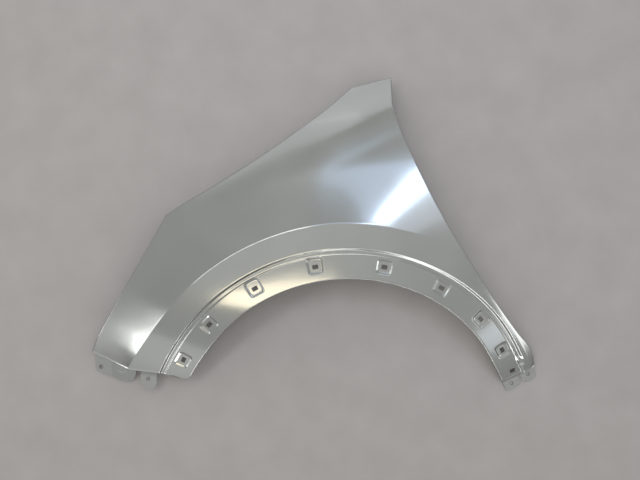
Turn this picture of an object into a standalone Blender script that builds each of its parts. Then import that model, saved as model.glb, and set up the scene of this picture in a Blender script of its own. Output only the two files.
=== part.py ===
"""Front fender of a car, left side: one sheet of steel, drawn, flanged and pierced.

The fender lies with its outer face up, as it would come to rest on a floor.
X runs rearward in the car, Y runs up in the car and Z points out of the car's side.
All lengths below are millimetres and all angles are degrees.
The wheel's centre is the centre of the arch, and the finished sheet is set down
with the middle of its box over the origin and its lowest point at zero.
"""

import bisect
import functools
import math

import bmesh
import bpy
import numpy as np
from mathutils import Matrix, Vector

MM = 0.001
SMALL_ANGLE = 0.05

# Sheet
SHEET_THICKNESS = 0.8
BEND_RADIUS = 2.0

# Wheel arch, as radii from the wheel's centre
ARCH_RADIUS = 376.0
LIP_DEPTH = 12.0
LIP_DEPTH_REAR = 5.0
REAR_ANGLE = -4.4
FRONT_ANGLE = 134.5
LIP_CORNER_RADIUS = 16.0
FRONT_SPREAD = 9.0
FRONT_SPREAD_FROM = 115.0
REAR_SPREAD = 7.0
REAR_SPREAD_FROM = 8.0
FRONT_SPREAD_OVER = 18.0
REAR_SPREAD_OVER = 12.0
SPREAD_LIMIT = 1.2
LIP_FADE_OVER = 30.0

# Clip seats along the recess, each a shallow pocket with an oblong hole
CLIP_LINE_OFFSET = 32.0
CLIP_ANGLES = (126.9, 112.2, 94.3, 75.1, 54.4, 35.6, 19.3, 6.0)
OPEN_SEATS = (94.3, 75.1)
SEAT_ALONG = 36.0
SEAT_ACROSS = 33.0
SEAT_WALL = 5.5
SEAT_DEPTH = 2.4
CLIP_HOLE_ALONG = 13.0
CLIP_HOLE_ACROSS = 9.6
LAST_HOLE_ANGLE = -2.5
LAST_HOLE_ALONG = 9.6
LAST_HOLE_ACROSS = 13.0
CLIP_RADIUS = ARCH_RADIUS + CLIP_LINE_OFFSET
SEAT_EDGE = CLIP_RADIUS + SEAT_ACROSS / 2.0

# Recess for the arch moulding: an inner step past the seats, a ledge and an outer step
SEAT_CLEARANCE = 3.0
INNER_STEP_WIDTH = 3.5
INNER_STEP_DEPTH = 1.8
LEDGE_WIDTH = 6.0
STEP_WIDTH = 5.0
STEP_DEPTH = 5.0
STEP_FADE_FROM = -1.0
STEP_FADE_TO = 1.5
LEG_FROM = 55.0
LEG_TO = 22.0
LEG_STEP_GROWTH = 1.2
LEG_INNER_GROWTH = 1.2
INNER_STEP_RADIUS = SEAT_EDGE + SEAT_CLEARANCE + INNER_STEP_WIDTH
STEP_RADIUS = INNER_STEP_RADIUS + LEDGE_WIDTH + STEP_WIDTH

# Flare: a crease round the arch that fades towards the door
FLARE_WIDTH = 51.0
CREASE_HEIGHT = 14.0
CREASE_REACH = 110.0
CREASE_FALL = 0.10
CREASE_ROUND = 5.0
CREASE_FADE_FROM = 70.0
CREASE_FADE_TO = 38.0
CREASE_FRONT_SPREAD = 12.0
CREASE_RADIUS = STEP_RADIUS + FLARE_WIDTH

# Crown of the panel: how far it rolls down away from its highest place
CROWN_HEIGHT = 118.0
CROWN_X = 100.0
CROWN_ABOVE_ARCH = 24.0
ROLL_REAR = 1.2e-4
ROLL_FRONT = 1.4e-4
ROLL_HOOD = 6.5e-4
ROLL_SILL = 3.0e-4
ROLL_LEG = 3.7e-4
ROLL_NOSE = 8.0e-4
ROLL_INSIDE_ARCH = 126.0
CROWN_Y = ARCH_RADIUS + CROWN_ABOVE_ARCH
LEG_Y = ARCH_RADIUS - ROLL_INSIDE_ARCH

# Shoulder: a soft ridge and valley level with the door's shoulder line
SHOULDER_ABOVE_ARCH = 256.0
SHOULDER_HEIGHT = 5.0
SHOULDER_BELOW = 55.0
SHOULDER_ABOVE = 75.0
SHOULDER_ROUND = 4.0
SHOULDER_FADE_FROM = 380.0
SHOULDER_FADE_TO = 150.0
SHOULDER_Y = ARCH_RADIUS + SHOULDER_ABOVE_ARCH

# Rear leg: outside the recess the sheet rolls down to the door and the sill
LEG_ROLL_FROM = 32.0
LEG_ROLL_TO = 18.0
LEG_ROLL_PAST_STEP = 4.0
LEG_ROLL_RADIUS = 45.0

# Outline, as the places that its sides pass through, from the wheel's centre.
# They are given for one arch radius, and move out from the wheel with the arch.
OUTLINE_ARCH = 376.0
REAR_FOOT = (466.0, -30.0)
DOOR_SIDE = ((469.5, 5.0), (448.5, 75.0), (427.0, 165.0), (411.0, 262.0),
             (400.0, 345.0), (394.0, 444.0), (396.0, 536.0), (401.0, 602.0))
SHOULDER_CORNER = (409.0, 645.0)
TIP = (439.0, 706.0)
HOOD_REAR_CORNER = (349.0, 725.0)
HOOD_SIDE = ((284.0, 703.0), (203.0, 685.0), (96.0, 665.0), (-28.0, 648.0), (-124.0, 638.0))
HOOD_FRONT_CORNER = (-147.0, 634.0)
LAMP_SIDE = ((-201.0, 592.0), (-276.0, 539.0), (-351.0, 491.0), (-413.0, 454.0))
NOSE_CORNER = (-446.0, 431.0)
REAR_END_Y = -33.0
NOSE_END_ANGLE = 136.1
FRONT_LEG_END_ANGLE = 133.9
NOSE_END_FROM_ARCH = 64.0
NOSE_END_OVER = 75.0
FRONT_END_BLEND = 4.5
REAR_END_BLEND = 2.5

# Where the spokes of the sheet's grid meet the corners of the outline
SPOKES_DOOR = ((REAR_ANGLE, -30.0), (0.0, 2.0), (10.0, 79.0), (20.0, 155.0), (30.0, 240.0),
               (36.0, 300.0), (42.0, 385.0), (50.0, 500.0))
SPOKE_SHOULDER = 60.0
SPOKE_TIP = 72.0
SPOKE_HOOD_REAR = 79.0
SPOKE_HOOD_FRONT = 102.0
DOOR_LIMIT_ANGLE = 30.0
DOOR_LIMIT_GROWTH = 4.0

# Flanges round the outline
SIDE_FLANGE_DEPTH = 12.0
GUTTER_DEPTH = 20.0
GUTTER_LEAN = 8.0
FLANGE_FOOT = 14.0
LOBE_ANGLES = (81.0, 85.5, 90.0, 99.5)
LOBE_SPAN = 1.8
LOBE_CORNER = 5.0
LOBE_HOLE_RADIUS = 3.5
LOBE_HOLE_HEIGHT = 10.0
END_FLANGE_DEPTH = 7.0

# Bolt tabs at the two ends: inner and outer side from the arch, step out from the wall,
# length, depth below the crown, and how much shorter it is at its inner and outer side
NOSE_BRACKET = (134.0, 236.0, 6.0, 37.5, 111.0, 32.0, 4.0)
LEG_TAB = (81.0, 115.0, 13.0, 32.0, 88.0, 14.0, 14.0)
SILL_TAB_INNER = (3.5, 48.5, 5.0, 22.0, 115.0, 4.0, 5.0)
SILL_TAB_OUTER = (55.0, 88.5, 5.0, 22.0, 115.0, 10.0, 12.0)
FRONT_TAB_HEADING = 245.0
REAR_TAB_HEADING = 270.0
TAB_MARGIN = 2.5
BRACKET_FLAT_FROM = 194.0
BRACKET_RISE = 9.0

# Bolt holes of the tabs, given for the same arch as the outline
BOLT_HOLE_RADIUS = 5.0
BRACKET_HOLE = (-448.0, 390.0)
LEG_TAB_HOLE = (-351.0, 321.0)
SILL_HOLES = ((401.5, -49.5), (445.5, -46.0))

# Fineness of the grid: rows as shares of the flare, of the panel and of the folded edge
FLARE_ROWS = (0.07, 0.24, 0.42, 0.59, 0.93, 1.0)
PANEL_ROWS = (0.05, 0.20, 0.38, 0.56, 0.75, 0.94, 1.0)
FOLD_ROWS = (0.5, 1.0, 2.0, 3.0, 4.0)
END_COLUMNS = (1.0, 2.0, 2.5, 3.0)
WIDEST_SPOKE_GAP = 6.0
PUNCH_SIDES = 16
PUNCH_LENGTH = 12.0
SHARP_ANGLE = 35.0

# Paint
PAINT = (0.34, 0.36, 0.32, 1.0)
PAINT_METALLIC = 0.6
PAINT_ROUGHNESS = 0.35


def ramp(value, start, end):
    """Smooth step from 0 at start to 1 at end."""
    part = min(1.0, max(0.0, (value - start) / (end - start)))
    return part * part * (3.0 - 2.0 * part)


def roll(distance, strength):
    """Drop of a surface that curves away past a line."""
    return strength * max(0.0, distance) ** 2


def spread(angle):
    """How much the arch's rings open out towards the two ends of the arch."""
    front = min(SPREAD_LIMIT, max(0.0, (angle - FRONT_SPREAD_FROM) / FRONT_SPREAD_OVER))
    rear = min(SPREAD_LIMIT, max(0.0, (REAR_SPREAD_FROM - angle) / REAR_SPREAD_OVER))
    return FRONT_SPREAD * front ** 2 + REAR_SPREAD * rear ** 2


def crease_ring(angle):
    """Radius of the flare's crease at an angle."""
    front = min(SPREAD_LIMIT, max(0.0, (angle - FRONT_SPREAD_FROM) / FRONT_SPREAD_OVER))
    return CREASE_RADIUS + spread(angle) + CREASE_FRONT_SPREAD * front ** 2


def crown(x, y):
    """Height of the plain panel, without flare, recess or shoulder."""
    toward_nose = LEG_Y - (x + y) / math.sqrt(2.0)
    drop = roll(x - CROWN_X, ROLL_REAR) + roll(CROWN_X - x, ROLL_FRONT)
    drop += roll(y - CROWN_Y, ROLL_HOOD) + roll(CROWN_Y - y, ROLL_SILL)
    drop += roll(LEG_Y - y, ROLL_LEG) + roll(toward_nose, ROLL_NOSE)
    return CROWN_HEIGHT - drop


def flare(radius, angle):
    """Extra height of the flare round the arch."""
    strength = ramp(angle, CREASE_FADE_TO, CREASE_FADE_FROM)
    past = radius - crease_ring(angle)
    beyond = min(1.0, max(0.0, past / CREASE_REACH))
    outside = CREASE_HEIGHT * (1.0 - beyond) ** 2
    inside = CREASE_HEIGHT + CREASE_FALL * past
    blend = ramp(past, -CREASE_ROUND, CREASE_ROUND)
    return strength * (inside * (1.0 - blend) + outside * blend)


def shoulder(x, y):
    """Extra height of the shoulder's ridge, strongest at the door."""
    strength = ramp(x, SHOULDER_FADE_TO, SHOULDER_FADE_FROM)
    away = math.hypot(y - SHOULDER_Y, SHOULDER_ROUND) - SHOULDER_ROUND
    half = SHOULDER_ABOVE if y > SHOULDER_Y else SHOULDER_BELOW
    return strength * SHOULDER_HEIGHT * max(0.0, 1.0 - away / half)


def in_leg(angle):
    """How far a spoke is into the rear leg."""
    return ramp(-angle, -LEG_FROM, -LEG_TO)


def leg_roll(ring, angle):
    """Drop of the sheet outside the recess at the rear leg."""
    strength = ramp(-angle, -LEG_ROLL_FROM, -LEG_ROLL_TO)
    past = ring - STEP_RADIUS - LEG_ROLL_PAST_STEP
    return strength * roll(past, 0.5 / LEG_ROLL_RADIUS)


def recess(ring, angle):
    """Depth of the stepped recess at a ring of the arch."""
    tail = ramp(angle, STEP_FADE_FROM, STEP_FADE_TO)
    outer = 1.0 - ramp(ring, STEP_RADIUS - STEP_WIDTH, STEP_RADIUS)
    inner_width = INNER_STEP_WIDTH + SEAT_CLEARANCE * in_leg(angle)
    inner = 1.0 - ramp(ring, INNER_STEP_RADIUS - inner_width, INNER_STEP_RADIUS)
    outer_depth = STEP_DEPTH + LEG_STEP_GROWTH * in_leg(angle)
    inner_depth = INNER_STEP_DEPTH + LEG_INNER_GROWTH * in_leg(angle) + outer_depth * (1.0 - tail)
    return outer_depth * tail * outer + inner_depth * inner


def seat(ring, angle):
    """Depth of the clip seats at a ring of the arch."""
    depth = 0.0
    for middle in CLIP_ANGLES:
        along = abs(math.radians(angle - middle)) * CLIP_RADIUS
        if along > SEAT_ALONG:
            continue
        across = ring - CLIP_RADIUS
        reach = SEAT_ACROSS / 2.0
        if across > 0.0 and middle in OPEN_SEATS:
            reach = INNER_STEP_RADIUS - CLIP_RADIUS
        inside = min(SEAT_ALONG / 2.0 - along, reach - abs(across))
        depth = max(depth, SEAT_DEPTH * ramp(inside, 0.0, SEAT_WALL))
    return depth


def skin(x, y):
    """Height of the outer face at a place."""
    radius = math.hypot(x, y)
    angle = math.degrees(math.atan2(y, x))
    ring = radius - spread(angle)
    height = crown(x, y) + flare(radius, angle) + shoulder(x, y)
    return height - recess(ring, angle) - seat(ring, angle) - leg_roll(ring, angle)


@functools.lru_cache(maxsize=None)
def moved_out(given):
    """Place of the outline or of a bolt hole, moved out with the arch."""
    place = np.array(given, dtype=float)
    return place + place / np.linalg.norm(place) * (ARCH_RADIUS - OUTLINE_ARCH)


def curve_through(points, share):
    """Point at a share of the way along a smooth curve through some points."""
    chain = np.array([moved_out(point) for point in points])
    steps = np.linalg.norm(np.diff(chain, axis=0), axis=1)
    stations = np.concatenate(([0.0], np.cumsum(steps)))
    slopes = np.gradient(chain, stations, axis=0)
    where = share * stations[-1]
    span = min(len(steps) - 1, max(0, bisect.bisect_right(list(stations), where) - 1))
    length = steps[span]
    part = (where - stations[span]) / length
    start = chain[span] * (2 * part ** 3 - 3 * part ** 2 + 1)
    start += slopes[span] * length * (part ** 3 - 2 * part ** 2 + part)
    end = chain[span + 1] * (3 * part ** 2 - 2 * part ** 3)
    end += slopes[span + 1] * length * (part ** 3 - part ** 2)
    return start + end


def share_at_height(points, height):
    """Share of the way along a rising curve at which it reaches a height."""
    low, high = 0.0, 1.0
    for _ in range(30):
        middle = (low + high) / 2.0
        if curve_through(points, middle)[1] < height:
            low = middle
        else:
            high = middle
    return (low + high) / 2.0


@functools.lru_cache(maxsize=None)
def outline(angle):
    """Place on the outline that a spoke of the grid runs to."""
    door = (REAR_FOOT,) + DOOR_SIDE + (SHOULDER_CORNER,)
    if angle <= SPOKE_SHOULDER:
        knots = SPOKES_DOOR + ((SPOKE_SHOULDER, SHOULDER_CORNER[1]),)
        height = np.interp(angle, [k[0] for k in knots], [k[1] for k in knots])
        share = (height - REAR_FOOT[1]) / (SHOULDER_CORNER[1] - REAR_FOOT[1])
        foot, corner = moved_out(REAR_FOOT)[1], moved_out(SHOULDER_CORNER)[1]
        height = foot + share * (corner - foot)
        return curve_through(door, share_at_height(door, height))
    if angle <= SPOKE_TIP:
        share = (angle - SPOKE_SHOULDER) / (SPOKE_TIP - SPOKE_SHOULDER)
        return curve_through((SHOULDER_CORNER, TIP), share)
    if angle <= SPOKE_HOOD_REAR:
        share = (angle - SPOKE_TIP) / (SPOKE_HOOD_REAR - SPOKE_TIP)
        return curve_through((TIP, HOOD_REAR_CORNER), share)
    if angle <= SPOKE_HOOD_FRONT:
        share = (angle - SPOKE_HOOD_REAR) / (SPOKE_HOOD_FRONT - SPOKE_HOOD_REAR)
        return curve_through((HOOD_REAR_CORNER,) + HOOD_SIDE + (HOOD_FRONT_CORNER,), share)
    share = (angle - SPOKE_HOOD_FRONT) / (FRONT_ANGLE - SPOKE_HOOD_FRONT)
    return curve_through((HOOD_FRONT_CORNER,) + LAMP_SIDE + (NOSE_CORNER,), share)


@functools.lru_cache(maxsize=None)
def inward(angle):
    """Unit direction from the outline into the sheet."""
    behind = outline(max(REAR_ANGLE, angle - SMALL_ANGLE))
    ahead = outline(min(FRONT_ANGLE, angle + SMALL_ANGLE))
    along = (ahead - behind) / np.linalg.norm(ahead - behind)
    return np.array([-along[1], along[0]])


def bent_angle(angle, radius):
    """Angle of a spoke at a radius, so that the end spokes follow the sheet's ends."""
    nose_from = ARCH_RADIUS + NOSE_END_FROM_ARCH
    nose = ramp(radius, nose_from, nose_from + NOSE_END_OVER)
    front_end = FRONT_LEG_END_ANGLE + (NOSE_END_ANGLE - FRONT_LEG_END_ANGLE) * nose
    rear_end = math.degrees(math.asin(REAR_END_Y / radius))
    to_front = ramp(angle, FRONT_ANGLE - FRONT_END_BLEND, FRONT_ANGLE)
    to_rear = 1.0 - ramp(angle, REAR_ANGLE, REAR_ANGLE + REAR_END_BLEND)
    return angle + to_front * (front_end - FRONT_ANGLE) + to_rear * (rear_end - REAR_ANGLE)


def ring_point(ring, angle):
    """Place of an arch ring on a spoke, with the arch's front corner rounded off."""
    to_end = math.radians(FRONT_ANGLE - angle) * ARCH_RADIUS
    radius = ring + spread(angle)
    if to_end < LIP_CORNER_RADIUS and ring < SEAT_EDGE:
        side = LIP_CORNER_RADIUS - to_end
        cut = LIP_CORNER_RADIUS - math.sqrt(LIP_CORNER_RADIUS ** 2 - side ** 2)
        share = (ring - ARCH_RADIUS) / (SEAT_EDGE - ARCH_RADIUS)
        radius += cut * (1.0 - share)
    turned = math.radians(bent_angle(angle, radius))
    return np.array([radius * math.cos(turned), radius * math.sin(turned)])


def crease_point(angle):
    """Place of the crease on a spoke, kept inside the outline near the door."""
    edge = np.linalg.norm(outline(min(angle, DOOR_LIMIT_ANGLE)))
    step_edge = STEP_RADIUS + spread(angle)
    past = max(0.0, angle - DOOR_LIMIT_ANGLE)
    limit = step_edge + 0.5 * (edge - step_edge) + DOOR_LIMIT_GROWTH * past
    radius = min(crease_ring(angle), limit)
    turned = math.radians(bent_angle(angle, radius))
    return np.array([radius * math.cos(turned), radius * math.sin(turned)])


def fold_row(part, angle):
    """Place in the folded edge: 0 to 1 is the bend, above that the flanges."""
    edge = outline(angle)
    into = inward(angle)
    top = skin(*(edge + into * BEND_RADIUS))
    if part <= 1.0:
        turn = math.radians(90.0 * part)
        place = edge + into * BEND_RADIUS * (1.0 - math.sin(turn))
        return place, top - BEND_RADIUS * (1.0 - math.cos(turn))
    on_hood = SPOKE_HOOD_REAR <= angle <= SPOKE_HOOD_FRONT
    depth = GUTTER_DEPTH if on_hood else SIDE_FLANGE_DEPTH
    lean = GUTTER_LEAN if on_hood else 0.0
    share = min(1.0, part - 1.0)
    place = edge + into * lean * share
    height = top - BEND_RADIUS - (depth - BEND_RADIUS) * share
    if part > 2.0:
        height += (FLANGE_FOOT - height) * min(1.0, part - 2.0)
    if part > 3.0:
        middle = min(LOBE_ANGLES, key=lambda lobe: abs(lobe - angle))
        side = abs(angle - middle) / (LOBE_SPAN / 2.0)
        foot = LOBE_CORNER * max(0.0, side * 2.0 - 1.0)
        height += (foot - height) * (part - 3.0)
    return place, height


def row_place(row, angle):
    """Place and height of a row of the grid on a spoke between the sheet's ends."""
    zone, value = row
    if zone == "lip":
        fade = ramp(angle, REAR_ANGLE, REAR_ANGLE + LIP_FADE_OVER)
        depth = LIP_DEPTH_REAR + (LIP_DEPTH - LIP_DEPTH_REAR) * fade
        place = ring_point(ARCH_RADIUS, angle)
        top = skin(*ring_point(ARCH_RADIUS + BEND_RADIUS, angle))
        return place, top - BEND_RADIUS - (depth - BEND_RADIUS) * value
    if zone == "ring":
        place = ring_point(value, angle)
    elif zone == "flare":
        start = ring_point(STEP_RADIUS, angle)
        place = start + (crease_point(angle) - start) * value
    elif zone == "panel":
        start = crease_point(angle)
        end = outline(angle) + inward(angle) * BEND_RADIUS
        place = start + (end - start) * value
    else:
        return fold_row(value, angle)
    return place, skin(*place)


def end_place(row, end, value, tabs):
    """Place past an end of the sheet: 0 to 1 is the bend, 1 to 2 the wall, 2 to 3 a tab."""
    angle = FRONT_ANGLE if end == "front" else REAR_ANGLE
    place, height = row_place(row, angle)
    if end == "front":
        before, _ = row_place(row, angle - SMALL_ANGLE)
        out = (place - before) / np.linalg.norm(place - before)
    else:
        out = np.array([0.0, -1.0])
    turn = math.radians(90.0 * min(1.0, value))
    place = place + out * BEND_RADIUS * math.sin(turn)
    height -= BEND_RADIUS * (1.0 - math.cos(turn))
    if value <= 1.0:
        return place, height
    beyond = np.linalg.norm(place) - ARCH_RADIUS
    tab = tab_at(beyond, tabs)
    share = min(1.0, value - 1.0)
    if tab is None:
        return place, height - (END_FLANGE_DEPTH - BEND_RADIUS) * share
    inner, outer, step_out, length, _, inner_cut, outer_cut = tab
    place = place + out * step_out * share
    height += (tab_level(tab, beyond) - height) * share
    if value > 2.0:
        side = min(1.0, max(-1.0, (beyond - inner) / (outer - inner) * 2.0 - 1.0))
        length -= (inner_cut if side < 0.0 else outer_cut) * side ** 2
        heading = math.radians(FRONT_TAB_HEADING if end == "front" else REAR_TAB_HEADING)
        place = place + np.array([math.cos(heading), math.sin(heading)]) * length * (value - 2.0)
    return place, height


def tab_level(tab, beyond):
    """Height of a tab's outer face, where the nose bracket slopes past its bolt seat."""
    inner, level = tab[0], CROWN_HEIGHT - tab[4]
    if tab is NOSE_BRACKET and beyond < BRACKET_FLAT_FROM:
        level += BRACKET_RISE * (BRACKET_FLAT_FROM - beyond) / (BRACKET_FLAT_FROM - inner)
    return level


def tab_at(beyond, tabs):
    """The tab at a distance beyond the arch, if any."""
    for tab in tabs:
        if tab[0] - TAB_MARGIN <= beyond <= tab[1] + TAB_MARGIN:
            return tab
    return None


def rows_of_grid():
    """Rows of the grid, from the foot of the arch's lip to the hood flange's lobes."""
    rings = (ARCH_RADIUS + BEND_RADIUS,
             SEAT_EDGE - SEAT_ACROSS, SEAT_EDGE - SEAT_ACROSS + SEAT_WALL,
             CLIP_RADIUS - CLIP_HOLE_ACROSS / 2.0, CLIP_RADIUS + CLIP_HOLE_ACROSS / 2.0,
             SEAT_EDGE - SEAT_WALL, SEAT_EDGE,
             INNER_STEP_RADIUS - INNER_STEP_WIDTH, INNER_STEP_RADIUS,
             STEP_RADIUS - STEP_WIDTH, STEP_RADIUS)
    rows = [("lip", 1.0), ("lip", 0.0)]
    rows += [("ring", ring) for ring in rings]
    rows += [("flare", share) for share in FLARE_ROWS]
    rows += [("panel", share) for share in PANEL_ROWS]
    rows += [("fold", part) for part in FOLD_ROWS]
    return rows


def spokes_of_grid():
    """Angles of the spokes, with a spoke at each edge of a clip seat, hole and lobe."""
    angles = {REAR_ANGLE, FRONT_ANGLE, SPOKE_SHOULDER, SPOKE_TIP, SPOKE_HOOD_REAR, SPOKE_HOOD_FRONT}
    for middle in CLIP_ANGLES:
        for half in (CLIP_HOLE_ALONG / 2.0, SEAT_ALONG / 2.0 - SEAT_WALL, SEAT_ALONG / 2.0):
            offset = math.degrees(half / CLIP_RADIUS)
            angles.update((middle - offset, middle + offset))
    for middle in LOBE_ANGLES:
        angles.update((middle - LOBE_SPAN / 2.0, middle - LOBE_SPAN / 4.0))
        angles.update((middle + LOBE_SPAN / 4.0, middle + LOBE_SPAN / 2.0))
    fixed = sorted(angles)
    filled = [fixed[0]]
    for angle in fixed[1:]:
        pieces = max(1, math.ceil((angle - filled[-1]) / WIDEST_SPOKE_GAP))
        start = filled[-1]
        filled += [start + (angle - start) * piece / pieces for piece in range(1, pieces + 1)]
    return filled


def columns_of_grid():
    """Columns of the grid: the rear tabs, the spokes, then the front tabs."""
    rear = [("rear", value) for value in reversed(END_COLUMNS)]
    front = [("front", value) for value in END_COLUMNS]
    return rear + [("spoke", angle) for angle in spokes_of_grid()] + front


def grid_point(row, column):
    """Point of the sheet's outer face, in millimetres from the wheel's centre."""
    kind, value = column
    if kind == "spoke":
        place, height = row_place(row, value)
    elif kind == "front":
        place, height = end_place(row, "front", value, (NOSE_BRACKET, LEG_TAB))
    else:
        place, height = end_place(row, "rear", value, (SILL_TAB_INNER, SILL_TAB_OUTER))
    return float(place[0]), float(place[1]), float(height)


def in_clip_hole(row, next_row, column, next_column):
    """Whether a cell of the grid is punched out for a clip."""
    on_spokes = column[0] == "spoke" and next_column[0] == "spoke"
    if not on_spokes or row[0] != "ring" or next_row[0] != "ring":
        return False
    across = abs((row[1] + next_row[1]) / 2.0 - CLIP_RADIUS)
    angle = (column[1] + next_column[1]) / 2.0
    half = math.degrees(CLIP_HOLE_ALONG / 2.0 / CLIP_RADIUS)
    near = any(abs(angle - middle) < half for middle in CLIP_ANGLES)
    return near and across < CLIP_HOLE_ACROSS / 2.0


def cell_is_trimmed(row, next_row, column, next_column):
    """Whether a cell of the blank lies outside the finished sheet."""
    if in_clip_hole(row, next_row, column, next_column):
        return True
    folded = row[0] in ("lip", "fold") or next_row[0] in ("lip", "fold")
    at_end = column[0] != "spoke" or next_column[0] != "spoke"
    if at_end and folded:
        return True
    if at_end:
        value = max(c[1] for c in (column, next_column) if c[0] != "spoke")
        end = column[0] if column[0] != "spoke" else next_column[0]
        if value > 2.0:
            return not both_rows_in_tab(row, next_row, end)
        return False
    if next_row[0] == "fold" and next_row[1] > 2.0:
        middle = (column[1] + next_column[1]) / 2.0
        if not SPOKE_HOOD_REAR < middle < SPOKE_HOOD_FRONT:
            return True
        if next_row[1] > 3.0:
            return min(abs(middle - lobe) for lobe in LOBE_ANGLES) > LOBE_SPAN / 2.0
    return False


def both_rows_in_tab(row, next_row, end):
    """Whether two rows both end in the same tab."""
    tabs = (NOSE_BRACKET, LEG_TAB) if end == "front" else (SILL_TAB_INNER, SILL_TAB_OUTER)
    angle = FRONT_ANGLE if end == "front" else REAR_ANGLE
    found = []
    for one in (row, next_row):
        found.append(tab_at(np.linalg.norm(row_place(one, angle)[0]) - ARCH_RADIUS, tabs))
    return found[0] is not None and found[0] is found[1]


def sheet_mesh():
    """Outer face of the sheet as an open surface, drawn from a flat grid."""
    rows = rows_of_grid()
    columns = columns_of_grid()
    mesh = bmesh.new()
    bmesh.ops.create_grid(mesh, x_segments=len(rows) - 1, y_segments=len(columns) - 1, size=1.0)
    mesh.verts.ensure_lookup_table()
    cell = {}
    for vert in mesh.verts:
        i = round((vert.co.x + 1.0) / 2.0 * (len(rows) - 1))
        j = round((vert.co.y + 1.0) / 2.0 * (len(columns) - 1))
        cell[vert] = (i, j)
    trimmed = []
    for face in mesh.faces:
        i = min(cell[vert][0] for vert in face.verts)
        j = min(cell[vert][1] for vert in face.verts)
        if cell_is_trimmed(rows[i], rows[i + 1], columns[j], columns[j + 1]):
            trimmed.append(face)
    for vert, (i, j) in cell.items():
        x, y, z = grid_point(rows[i], columns[j])
        vert.co = (x * MM, y * MM, z * MM)
    bmesh.ops.delete(mesh, geom=trimmed, context="FACES")
    data = bpy.data.meshes.new("fender_panel")
    mesh.to_mesh(data)
    mesh.free()
    return data


def punch(name, mesh, matrix, parent, collection):
    """Tool that pierces the sheet where it stands."""
    data = bpy.data.meshes.new(name)
    mesh.to_mesh(data)
    mesh.free()
    tool = bpy.data.objects.new(name, data)
    tool.parent = parent
    tool.matrix_local = matrix
    tool.hide_render = True
    tool.display_type = "WIRE"
    collection.objects.link(tool)


def round_punch(name, place, height, direction, radius, parent, collection):
    """Round punch of a bolt hole."""
    mesh = bmesh.new()
    bmesh.ops.create_cone(mesh, cap_ends=True, segments=PUNCH_SIDES, radius1=radius * MM,
                          radius2=radius * MM, depth=PUNCH_LENGTH * MM)
    turn = Vector(direction).to_track_quat("Z", "Y").to_matrix().to_4x4()
    matrix = Matrix.Translation((place[0] * MM, place[1] * MM, height * MM)) @ turn
    punch(name, mesh, matrix, parent, collection)


def oblong_punch(name, angle, parent, collection):
    """Oblong punch of the last clip hole, whose long side lies across the recess."""
    mesh = bmesh.new()
    size = (LAST_HOLE_ACROSS * MM, LAST_HOLE_ALONG * MM, PUNCH_LENGTH * MM)
    bmesh.ops.create_cube(mesh, size=1.0, matrix=Matrix.Diagonal(size + (1.0,)))
    place = ring_point(CLIP_RADIUS, angle)
    lift = Matrix.Translation((place[0] * MM, place[1] * MM, skin(*place) * MM))
    punch(name, mesh, lift @ Matrix.Rotation(math.radians(angle), 4, "Z"), parent, collection)


def make_punches(parent, collection):
    """Punches of the bolt holes in the tabs and lobes, and of the last clip hole."""
    bolts = [("punch_nose_bracket", BRACKET_HOLE, NOSE_BRACKET),
             ("punch_leg_tab", LEG_TAB_HOLE, LEG_TAB),
             ("punch_sill_tab_1", SILL_HOLES[0], SILL_TAB_INNER),
             ("punch_sill_tab_2", SILL_HOLES[1], SILL_TAB_OUTER)]
    for name, given, tab in bolts:
        place = moved_out(given)
        level = tab_level(tab, np.linalg.norm(place) - ARCH_RADIUS)
        round_punch(name, place, level, (0.0, 0.0, 1.0), BOLT_HOLE_RADIUS, parent, collection)
    for number, angle in enumerate(LOBE_ANGLES, 1):
        into = inward(angle)
        place = outline(angle) + into * GUTTER_LEAN
        direction = (into[0], into[1], 0.0)
        name = f"punch_lobe_{number}"
        round_punch(name, place, LOBE_HOLE_HEIGHT, direction, LOBE_HOLE_RADIUS, parent, collection)
    oblong_punch("punch_last_clip", LAST_HOLE_ANGLE, parent, collection)


def new_collection(name):
    """Collection linked to the scene."""
    collection = bpy.data.collections.new(name)
    bpy.context.scene.collection.children.link(collection)
    return collection


def steel_paint():
    """Silver paint over primed steel."""
    material = bpy.data.materials.new("silver_paint")
    material.use_nodes = True
    shader = material.node_tree.nodes["Principled BSDF"]
    shader.inputs["Base Color"].default_value = PAINT
    shader.inputs["Metallic"].default_value = PAINT_METALLIC
    shader.inputs["Roughness"].default_value = PAINT_ROUGHNESS
    return material


def set_down(panel, wheel_centre):
    """Move the wheel's centre so that the sheet's box stands over the origin."""
    bpy.context.view_layer.update()
    shape = panel.evaluated_get(bpy.context.evaluated_depsgraph_get()).to_mesh()
    points = np.empty(len(shape.vertices) * 3)
    shape.vertices.foreach_get("co", points)
    points = points.reshape(-1, 3)
    low, high = points.min(axis=0), points.max(axis=0)
    middle = (low + high) / 2.0
    wheel_centre.location = (-middle[0], -middle[1], -low[2])


def build():
    """Make the fender."""
    for item in list(bpy.data.objects):
        bpy.data.objects.remove(item)
    parts = new_collection("front_fender")
    tools = new_collection("punches")
    wheel_centre = bpy.data.objects.new("wheel_centre", None)
    parts.objects.link(wheel_centre)
    panel = bpy.data.objects.new("fender_panel", sheet_mesh())
    panel.data.materials.append(steel_paint())
    panel.parent = wheel_centre
    parts.objects.link(panel)
    make_punches(wheel_centre, tools)
    thickness = panel.modifiers.new("sheet_thickness", "SOLIDIFY")
    thickness.thickness = SHEET_THICKNESS * MM
    thickness.offset = -1.0
    thickness.use_even_offset = True
    thickness.use_quality_normals = True
    pierce = panel.modifiers.new("pierce", "BOOLEAN")
    pierce.operand_type = "COLLECTION"
    pierce.collection = tools
    pierce.operation = "DIFFERENCE"
    pierce.solver = "EXACT"
    panel.data.shade_smooth()
    panel.data.set_sharp_from_angle(angle=math.radians(SHARP_ANGLE))
    set_down(panel, wheel_centre)


build()
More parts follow.
